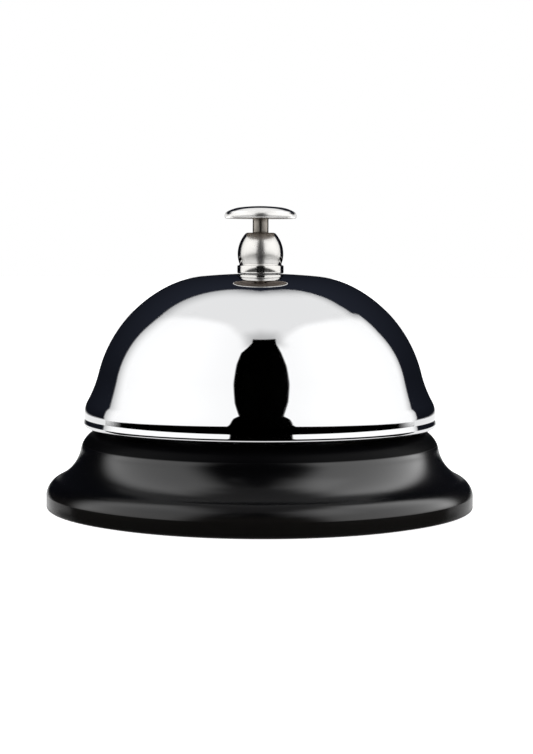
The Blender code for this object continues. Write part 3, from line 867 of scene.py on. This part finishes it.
def make_lever():
    half = LEVER_THICK / 2
    outline = []
    for i in range(25):
        angle = math.radians(35 + 290 * i / 24)
        outline.append(
            (-PAD_ARM + PAD_RADIUS * math.cos(angle), PAD_RADIUS * math.sin(angle))
        )
    outline += [(HEAD_ARM, -half), (HEAD_ARM, half)]
    flipped = [(z, x) for x, z in outline]
    lever = prism("striker_lever_skin", flipped, -LEVER_WIDTH / 2, LEVER_WIDTH / 2, axis="Y")
    seat = prism("lever_seat", circle(SEAT_RADIUS, HUB_ROUND, (HEAD_ARM, 0.0)), -half, half)
    combined(lever, seat, "UNION")
    barrel = [
        (HUB_BORE, -HUB_HALF),
        (HUB_RADIUS, -HUB_HALF),
        (HUB_RADIUS, HUB_HALF),
        (HUB_BORE, HUB_HALF),
    ]
    past = HUB_HALF + 0.5 * MM
    core = [(0.0, -past), (HUB_BORE, -past), (HUB_BORE, past), (0.0, past)]
    hub = turned("lever_hub", eased(barrel, 0.25 * MM, steps=4), HUB_ROUND)
    bore = turned("lever_bore", core, HUB_ROUND)
    for part in (hub, bore):
        part.data.transform(Matrix.Rotation(math.pi / 2, 4, "X"))
    combined(lever, hub, "UNION")
    combined(lever, bore, "DIFFERENCE")
    lever.data.polygons.foreach_set("use_smooth", [True] * len(lever.data.polygons))
    return in_striker_place(sharp_at(lever, 35))


def make_head():
    half = LEVER_THICK / 2
    dome = path((0.0, HEAD_TOP), 0.0, [(6.0 * MM, 24.0), (0.9 * MM, 66.0)], step_deg=3.0)
    widen = HEAD_RADIUS / dome[-1][0]
    top = [(r * widen, z) for r, z in dome]
    outline = top + [
        (HEAD_RADIUS, half + 0.55 * MM),
        (HEAD_RADIUS - 0.1 * MM, half + 0.35 * MM),
        (HEAD_RADIUS - 0.4 * MM, half + RIVET_GAP),
        (RIVET_SHANK, half + RIVET_GAP),
        (RIVET_SHANK, -half - RIVET_GAP),
    ]
    outline += eased(
        [
            (2.5 * MM, -half - RIVET_GAP),
            (2.5 * MM, -half - 0.55 * MM),
            (1.9 * MM, -half - 0.95 * MM),
            (0.0, -half - 0.95 * MM),
        ],
        0.2 * MM,
    )
    made = sharp_at(turned("striker_head_skin", outline, SMALL_ROUND), 50)
    made.data.transform(Matrix.Translation((HEAD_ARM, 0.0, 0.0)))
    return in_striker_place(made)


# ---- putting the pieces on the frame ------------------------------------
def finished(piece, node, material, body):
    piece.data.materials.clear()
    piece.data.materials.append(material)
    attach(piece, body)
    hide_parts(node)
    return piece


def build_bell():
    chrome, paint = gong_chrome(), black_paint()
    nut_nickel = polished_nickel(
        "nut_nickel", (0.80, 0.785, 0.755), (0.40, 0.58), bright_below=COLLAR_TOP_Z
    )
    # painted shade: the rod's nickel has about half the nut's tone, darker and browner, for the
    # rod's shaded look under the button
    rod_nickel_painted_shade = polished_nickel("rod_nickel_painted_shade", (0.40, 0.37, 0.33), (0.40, 0.58))
    rubber, zinc, steel = black_rubber(), zinc_plate(), spring_steel()
    brass, fibre = turned_brass(), red_fibre()
    # its underside is coloured dark brown below the foot height: painted shade
    button_nickel = polished_nickel(
        "button_nickel", (0.82, 0.81, 0.79), (0.50, 0.70), rough_shade_below=BUTTON_FOOT_Z + 0.01 * MM
    )

    finished(make_base(), "base_shell", paint, "stand")
    finished(make_foot_ring(), "foot_ring", rubber, "stand")
    finished(make_gong(), "gong", chrome, "stand")
    finished(make_ball_nut(), "ball_nut", nut_nickel, "stand")
    spring = finished(make_return_spring(), "return_spring", steel, "stand")
    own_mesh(spring)

    for make, node in (
        (make_centre_stud, "centre_stud"),
        (make_stud_nut, "stud_nut"),
        (make_bridge_strap, "bridge_strap"),
        (make_striker_yoke, "striker_yoke"),
        (make_pivot_pin, "pivot_pin"),
    ):
        finished(make(), node, zinc, "stand")
    for node in [f"strap_rivet_{i}" for i in (1, 2, 3, 4)] + ["yoke_rivet_1", "yoke_rivet_2"]:
        rivet = make_rivet(node + "_skin", node)
        finished(rivet, node, zinc, "stand")
    lock = make_washer("lock_washer", "lock_washer_skin")
    finished(lock, "lock_washer", zinc, "stand")
    seat = make_washer("gong_washer", "gong_washer_skin")
    finished(seat, "gong_washer", fibre, "stand")
    finished(make_pin_clip(), "pin_clip", steel, "stand")

    finished(make_button(), "plunger_button", button_nickel, "plunger")
    finished(make_rod(), "plunger_rod", rod_nickel_painted_shade, "plunger")
    finished(make_spring_clip(), "spring_clip", steel, "plunger")
    finished(make_lever(), "striker_lever", zinc, "striker")
    finished(make_head(), "striker_head", brass, "striker")


# ---- studio -------------------------------------------------------------
# Every panel is a patch of a dome round the bell. Its corners are directions
# from the bell in degrees: azimuth from the camera's side, positive to the
# right, then elevation above the horizon. The camera doesn't see the panels.
# The softboxes don't light the base. The papers, low at the back, don't light
# the nickel, and look dark in it. Each fill lights only the pieces it names.
STUDIO_RADIUS = 1.2
STUDIO_CENTRE = Vector((0.0, 0.0, 0.03))
LAYER_STEP = 0.02                # each layer of panels is this much nearer
SOFTBOX_EDGE, SOFTBOX_SPREAD = 1.19, 45     # radiance away from the middle; degrees
NAVY = (0.58, 0.67, 1.0)
FILL_STEP = 4.0                  # mesh step of a fill, in degrees

SOFTBOX_LEFT = (
    (-6, -14), (-6, 50), (-12, 56), (-20, 61), (-30, 65.5), (-45, 69.5), (-60, 70.5),
    (-75, 69), (-90, 65.5), (-105, 59.5), (-118, 50), (-128, 40), (-134, 30), (-134, -14),
)
SOFTBOX_RIGHT = (
    (10, -14), (10, 50), (18, 56), (26, 60.5), (36, 64), (48, 66), (62, 67),
    (76, 66), (90, 62.5), (105, 57), (118, 49), (128, 41), (132, 37), (130, -14),
)
FRONT_FLAG = (
    (-25, -20), (-20.5, 3), (-19, 12), (-18.7, 21), (-19, 39), (-17.5, 49), (-12, 55),
    (-9, 58.5), (-9, 62), (18.5, 62), (17.2, 57.5), (19.5, 49), (21, 37.5), (20.7, 21),
    (20.5, 12), (22.5, 3), (27, -20),
)
FRONT_FLAG_HAZE = ((-14, 56), (-16, 66), (0, 69), (22, 67), (24, 56))
LOW_FLAG = (
    (-118, -34), (-118, -6.4), (-100, -5.2), (-80, -3), (-60, 0), (-40, 2.5), (-20, 5),
    (20, 5), (40, 2.5), (60, 0), (80, -3), (100, -5.2), (118, -6.4), (118, -34),
)
DARK_WALL_LEFT = (
    (-118.5, -3.4), (-119, 7.5), (-123.5, 22.5), (-127.5, 35), (-130.5, 39), (-135, 41.5),
    (-150, 48.5), (-165, 54.5), (-173, 58), (-180, 60.5), (-190, 57), (-190, -3.4),
)
DARK_WALL_RIGHT = (
    (120, -3.4), (120.5, 6), (123.7, 17.5), (126.2, 30), (130, 36), (133, 39.5), (130.5, 43.5),
    (137.5, 47.5), (150, 50.5), (160, 52.5), (168, 55), (174, 58), (180, 60.5), (184, 59),
    (184, -3.4),
)
PAPER = ((117, -12), (117, -4.6), (180, -4.6), (180, -12))
BUTTON_FILL = ((-240, 33), (-240, 62), (-120, 62), (-120, 33))
BUTTON_EDGE_FILL = ((-168, -25), (-168, 14), (-112, 14), (-112, -25))
NUT_FILL = ((-110, -34), (-110, -7), (-22, -7), (-22, -34))
BASE_FILL_LEFT = (
    (-108, 2), (-112, 46), (-106, 67), (-62, 69), (-34, 58), (-36, 35), (-42, 2),
)
BASE_FILL_RIGHT = ((122, 2), (124, 46), (112, 67), (60, 69), (34, 58), (32, 35), (38, 2))
BASE_EDGE_FILL = ((168, 2), (168, 50), (192, 50), (192, 2))
BASE_GLOW = ((-64, 38), (-64, 68), (-13, 64), (-18, 38))
BUTTON_SKINS = ("plunger_button_skin",)
NICKEL_SKINS = BUTTON_SKINS + ("plunger_rod_skin", "ball_nut_skin")
BASE_SKINS = ("base_skin",)

FLOOR_HALF, FLOOR_THICK = 3.0, 0.02
CAMERA_PLACE = (0.0, -0.34835, 0.05095)
CAMERA_PITCH, CAMERA_YAW, CAMERA_ROLL = (math.radians(a) for a in (4.10, -0.21, 0.20))
CAMERA_LENS, CAMERA_SENSOR = 83.47, 36.0


def direction(azimuth, elevation):
    azimuth, elevation = math.radians(azimuth), math.radians(elevation)
    flat = math.cos(elevation)
    return Vector((flat * math.sin(azimuth), -flat * math.cos(azimuth), math.sin(elevation)))


def depth_inside(outline, azimuth, elevation):
    """Degrees between a direction and the nearest edge; negative outside the outline."""
    squeeze = math.cos(math.radians(elevation))
    nearest = math.inf
    inside = False
    for (a0, e0), (a1, e1) in zip(outline, outline[1:] + outline[:1]):
        if (e0 > elevation) != (e1 > elevation):
            if azimuth < a0 + (elevation - e0) / (e1 - e0) * (a1 - a0):
                inside = not inside
        start = Vector(((a0 - azimuth) * squeeze, e0 - elevation))
        run = Vector(((a1 - a0) * squeeze, e1 - e0))
        share = min(1.0, max(0.0, -start.dot(run) / run.length_squared))
        nearest = min(nearest, (start + run * share).length)
    return nearest if inside else -nearest


def emitter(name, colour, adds):
    """Glows as strongly as its mesh's glow values say. Its cover values either
    hide what lies behind it or, where it only adds light, scale its glow."""
    made = bpy.data.materials.new(name)
    made.use_nodes = True
    tree = made.node_tree
    tree.nodes.clear()
    glow, cover = (tree.nodes.new("ShaderNodeAttribute") for _ in range(2))
    glow.attribute_name, cover.attribute_name = "glow", "cover"
    light = tree.nodes.new("ShaderNodeEmission")
    light.inputs["Color"].default_value = (*colour, 1.0)
    clear = tree.nodes.new("ShaderNodeBsdfTransparent")
    if adds:
        scaled = tree.nodes.new("ShaderNodeMath")
        scaled.operation = "MULTIPLY"
        tree.links.new(glow.outputs["Fac"], scaled.inputs[0])
        tree.links.new(cover.outputs["Fac"], scaled.inputs[1])
        tree.links.new(scaled.outputs[0], light.inputs["Strength"])
        joined = tree.nodes.new("ShaderNodeAddShader")
        tree.links.new(clear.outputs["BSDF"], joined.inputs[0])
        tree.links.new(light.outputs["Emission"], joined.inputs[1])
    else:
        tree.links.new(glow.outputs["Fac"], light.inputs["Strength"])
        joined = tree.nodes.new("ShaderNodeMixShader")
        tree.links.new(cover.outputs["Fac"], joined.inputs["Fac"])
        tree.links.new(clear.outputs["BSDF"], joined.inputs[1])
        tree.links.new(light.outputs["Emission"], joined.inputs[2])
    out = tree.nodes.new("ShaderNodeOutputMaterial")
    tree.links.new(joined.outputs["Shader"], out.inputs["Surface"])
    return made


def panel(
    name, outline, soft, step, glow, colour=(1.0, 1.0, 1.0), layer=0, opacity=1.0, adds=False
):
    """A dome patch, meshed every `step` degrees, whose edge fades over `soft` degrees;
    glow(azimuth, elevation) is its radiance. A panel that adds hides nothing behind it."""
    azimuths, elevations = zip(*outline)
    columns = math.ceil((max(azimuths) - min(azimuths) + 2 * soft) / step)
    rows = math.ceil((max(elevations) - min(elevations) + 2 * soft) / step)
    reach = STUDIO_RADIUS - LAYER_STEP * layer
    vertices, glows, covers = [], [], []
    for i in range(columns + 1):
        for j in range(rows + 1):
            azimuth = min(azimuths) - soft + i * step
            elevation = max(-89.0, min(elevations) - soft + j * step)
            vertices.append(STUDIO_CENTRE + reach * direction(azimuth, elevation))
            glows.append(glow(azimuth, elevation))
            share = min(1.0, max(0.0, depth_inside(outline, azimuth, elevation) / soft + 0.5))
            covers.append(opacity * share * share * (3 - 2 * share))
    faces = []
    for i in range(columns):
        for j in range(rows):
            corner = i * (rows + 1) + j
            face = [corner, corner + 1, corner + rows + 2, corner + rows + 1]
            if any(covers[k] > 0 for k in face):
                faces.append(face)
    made = add_piece(name, vertices, faces)
    for attribute, values in (("glow", glows), ("cover", covers)):
        made.data.attributes.new(attribute, "FLOAT", "POINT").data.foreach_set("value", values)
    made.data.materials.append(emitter(name, colour, adds))
    made.visible_camera = False
    made.visible_shadow = False
    return made


def share_light(light, pieces, state):
    """Keeps a panel's light to these pieces (INCLUDE) or off them (EXCLUDE). A piece that
    is left out sees a dark panel, or nothing where the panel only adds light."""
    listed = bpy.data.collections.new(light.name + "_pieces")
    for piece in pieces:
        listed.objects.link(bpy.data.objects[piece])
    for member in listed.collection_objects:
        member.light_linking.link_state = state
    light.light_linking.receiver_collection = listed


def fill(name, outline, soft, level, pieces):
    """Extra light for a few pieces only."""
    made = panel(name, outline, soft, FILL_STEP, even(level), layer=7, adds=True)
    share_light(made, pieces, "INCLUDE")


def mirrored(outline):
    return tuple((-azimuth, elevation) for azimuth, elevation in outline)


def hot_spot(edge, middle, azimuth0, elevation0, spread):
    """A softbox that is brighter in its middle."""

    def radiance(azimuth, elevation):
        away = ((azimuth - azimuth0) ** 2 + (elevation - elevation0) ** 2) / spread**2
        return edge + (middle - edge) * math.exp(-away)

    return radiance


def even(level):
    return lambda azimuth, elevation: level


def dusk(azimuth, elevation):
    """The dark walls are a little lighter higher up."""
    return 0.012 + 0.018 * min(1.0, max(0.0, elevation / 45))


def build_surroundings():
    world = bpy.context.scene.world or bpy.data.worlds.new("studio")
    bpy.context.scene.world = world
    world.use_nodes = True
    sky = world.node_tree.nodes["Background"]
    sky.inputs["Color"].default_value = (1.0, 1.0, 1.0, 1.0)
    sky.inputs["Strength"].default_value = 1.0

    plan = rounded_rectangle(FLOOR_HALF, FLOOR_HALF, 0.5, 4)
    floor = prism("floor", plan, -FLOOR_THICK, 0.0)
    pale = bpy.data.materials.new("pale_floor")
    pale.use_nodes = True
    shader = pale.node_tree.nodes["Principled BSDF"]
    shader.inputs["Base Color"].default_value = (0.5, 0.5, 0.5, 1.0)
    shader.inputs["Roughness"].default_value = 0.9
    shader.inputs["Emission Color"].default_value = (1.0, 1.0, 1.0, 1.0)
    shader.inputs["Emission Strength"].default_value = 1.0
    floor.data.materials.append(pale)
    floor.visible_glossy = False


def build_panels():
    glow_left = hot_spot(SOFTBOX_EDGE, 1.34, -75, 35, SOFTBOX_SPREAD)
    glow_right = hot_spot(SOFTBOX_EDGE, 1.36, 75, 35, SOFTBOX_SPREAD)
    left = panel("softbox_left", SOFTBOX_LEFT, 6.0, 2.0, glow_left)
    right = panel("softbox_right", SOFTBOX_RIGHT, 5.0, 2.0, glow_right)
    panel("front_haze", FRONT_FLAG_HAZE, 12.0, 2.0, even(0.0), layer=1, opacity=0.4)
    panel("dark_haze_left", DARK_WALL_LEFT, 26.0, 2.0, dusk, NAVY, layer=1.3)
    panel("dark_haze_right", DARK_WALL_RIGHT, 16.0, 2.0, dusk, NAVY, layer=1.6)
    panel("dark_wall_left", DARK_WALL_LEFT, 2.0, 1.0, dusk, NAVY, layer=2)
    panel("dark_wall_right", DARK_WALL_RIGHT, 1.6, 0.8, dusk, NAVY, layer=3)
    panel("low_flag", LOW_FLAG, 1.2, 0.8, even(0.0), layer=4)
    for light in (left, right):
        share_light(light, BASE_SKINS, "EXCLUDE")
    for name, outline in (("paper_left", mirrored(PAPER)), ("paper_right", PAPER)):
        paper = panel(name, outline, 1.2, 0.6, even(1.0), layer=5)
        share_light(paper, NICKEL_SKINS, "EXCLUDE")


def build_fills():
    for row in (
        # name, outline, softness of its edge in degrees, radiance, pieces it lights
        ("button_fill", BUTTON_FILL, 6.0, 1.0, BUTTON_SKINS),
        ("button_edge_left", BUTTON_EDGE_FILL, 8.0, 0.9, BUTTON_SKINS),
        ("button_edge_right", mirrored(BUTTON_EDGE_FILL), 8.0, 0.9, BUTTON_SKINS),
        ("nut_fill_left", NUT_FILL, 8.0, 0.75, NICKEL_SKINS),
        ("nut_fill_right", mirrored(NUT_FILL), 8.0, 0.75, NICKEL_SKINS),
        ("base_fill_left", BASE_FILL_LEFT, 20.0, 8.5, BASE_SKINS),
        ("base_fill_right", BASE_FILL_RIGHT, 16.0, 11.0, BASE_SKINS),
        ("base_edge", BASE_EDGE_FILL, 8.0, 1.2, BASE_SKINS),
        ("base_glow_left", BASE_GLOW, 12.0, 2.6, BASE_SKINS),
        ("base_glow_right", mirrored(BASE_GLOW), 12.0, 3.6, BASE_SKINS),
    ):
        fill(*row)


def build_studio():
    build_surroundings()
    build_panels()
    build_fills()
    panel("front_flag", FRONT_FLAG, 0.8, 0.5, even(0.0), layer=6)


def build_camera():
    """At the height of the ball nut, about a third of a metre in front of the bell."""
    data = bpy.data.cameras.new("photo_camera")
    data.sensor_width = CAMERA_SENSOR
    data.lens = CAMERA_LENS
    data.clip_start = 0.01
    camera = bpy.data.objects.new("photo_camera", data)
    bpy.context.scene.collection.objects.link(camera)
    aim = Euler((math.pi / 2 - CAMERA_PITCH, 0.0, CAMERA_YAW)).to_matrix()
    turn = aim @ Matrix.Rotation(CAMERA_ROLL, 3, "Z")
    camera.matrix_world = Matrix.Translation(CAMERA_PLACE) @ turn.to_4x4()
    bpy.context.scene.camera = camera


build_bell()
build_studio()
build_camera()
bpy.context.scene.view_settings.view_transform = "Standard"
